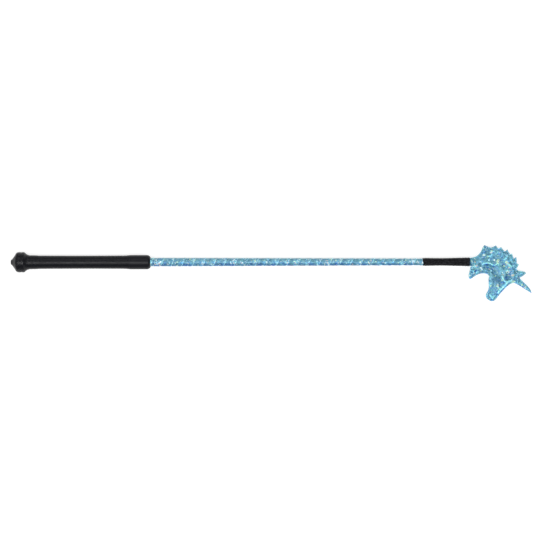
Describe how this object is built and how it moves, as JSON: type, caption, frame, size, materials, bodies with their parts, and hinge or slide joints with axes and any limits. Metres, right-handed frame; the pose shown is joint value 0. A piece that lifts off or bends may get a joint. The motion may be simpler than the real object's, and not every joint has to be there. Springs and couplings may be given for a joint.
{
  "type": "riding crop",
  "caption": "Child's riding crop: mushroom knob, textured rubber grip, ribbon-wound tapered shaft, thread whipping and a padded unicorn-head popper that flexes at its neck.",
  "frame": {"origin": "centre of the butt end's small flat face, on the shaft's axis", "axes": "+X along the shaft from the butt to the popper, +Y across the popper towards its mane, +Z through the popper's thickness, out of its front face"},
  "size_m": [0.61, 0.0657, 0.023],
  "materials": {
    "nail_black": "black lacquered steel, worn at its face",
    "knob_black": "hard moulded rubber, satin",
    "plug_wood": "turned beech dowel",
    "tube_plastic": "extruded tube",
    "tape_cloth": "double-sided cloth tape",
    "grip_rubber": "matte black rubber with a fine raised plaited texture",
    "ferrule_black": "smooth satin black collar",
    "rod_glass_fibre": "pultruded glass fibre",
    "liner_foam": "closed-cell foam tube",
    "wrap_foil": "blue holographic glitter ribbon, wound with lapped turns",
    "whipping_thread": "waxed black thread, close turns",
    "popper_foil": "blue holographic glitter vinyl, embossed and welded round its rim",
    "stiffener_board": "flexible polypropylene sheet",
    "padding_foam": "soft foam"
  },
  "bodies": {
    "crop": {"butt_nail": "nail_black", "butt_cap": "knob_black", "butt_plug": "plug_wood", "handle_tube": "tube_plastic", "grip_tape": "tape_cloth", "grip_sleeve": "grip_rubber", "front_ferrule": "ferrule_black", "core_rod": "rod_glass_fibre", "shaft_liner": "liner_foam", "holographic_wrap": "wrap_foil", "whipping": "whipping_thread", "tongue_front": "popper_foil", "tongue_back": "popper_foil", "tongue_core": "stiffener_board"},
    "popper": {"popper_core": "stiffener_board", "padding_front": "padding_foam", "padding_back": "padding_foam", "skin_front": "popper_foil", "skin_back": "popper_foil"}
  },
  "joints": [
    {"name": "popper_flex", "type": "hinge", "parent": "crop", "child": "popper", "pos_m": [0.5394, 0, 0], "axis": [0, 1, 0], "range_deg": [-40, 40], "stiffness_Nm_per_rad": 0.08}
  ]
}
